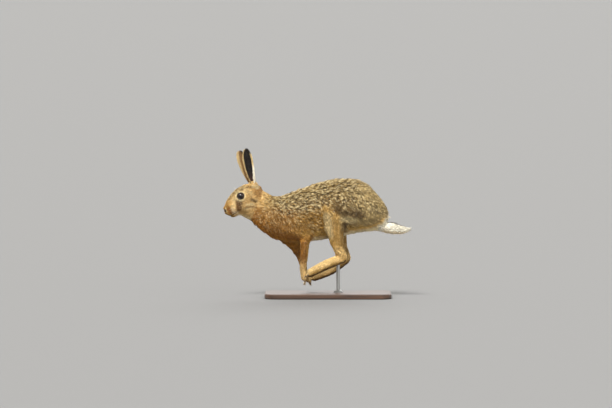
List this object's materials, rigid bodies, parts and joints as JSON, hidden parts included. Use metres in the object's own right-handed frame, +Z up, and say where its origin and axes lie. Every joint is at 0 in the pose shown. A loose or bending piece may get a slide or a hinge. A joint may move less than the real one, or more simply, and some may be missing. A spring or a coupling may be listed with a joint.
{
  "type": "brown hare model",
  "caption": "Life-size still model of a brown hare in mid gallop, ears up and feet gathered under it, held on a flat wooden base by a steel rod.",
  "frame": {"origin": "middle of the underside of the stand's base", "axes": "+X runs along the hare from its nose to its tail, -Y is the hare's left side and +Z is up"},
  "size_m": [0.529, 0.18, 0.4226],
  "materials": {
    "coat_back": "soft fur, mottled black-brown and cream",
    "coat_warm": "soft fur, reddish ochre",
    "coat_leg": "short fur, buff",
    "coat_ear": "short fur, brown with pale edges and black tip",
    "coat_white": "long soft fur, white with a black line above",
    "eye": "wet gloss",
    "claw": "dark horn",
    "nose_skin": "bare damp skin",
    "whisker": "stiff hair",
    "stand_wood": "dark stained and waxed",
    "stand_steel": "satin"
  },
  "bodies": {
    "root": {"head": "coat_warm", "neck": "coat_warm", "torso": "coat_back", "tail": "coat_white", "ear_left": "coat_ear", "ear_right": "coat_ear", "eye_left": "eye", "eye_right": "eye", "thigh_left": "coat_back", "lower_leg_left": "coat_leg", "hind_foot_left": "coat_leg", "thigh_right": "coat_back", "lower_leg_right": "coat_leg", "hind_foot_right": "coat_leg", "shoulder_left": "coat_warm", "forearm_left": "coat_leg", "forepaw_left": "coat_leg", "shoulder_right": "coat_warm", "forearm_right": "coat_leg", "forepaw_right": "coat_leg", "stand_base": "stand_wood", "stand_rod": "stand_steel", "stand_collar": "stand_steel"}
  },
  "joints": []
}
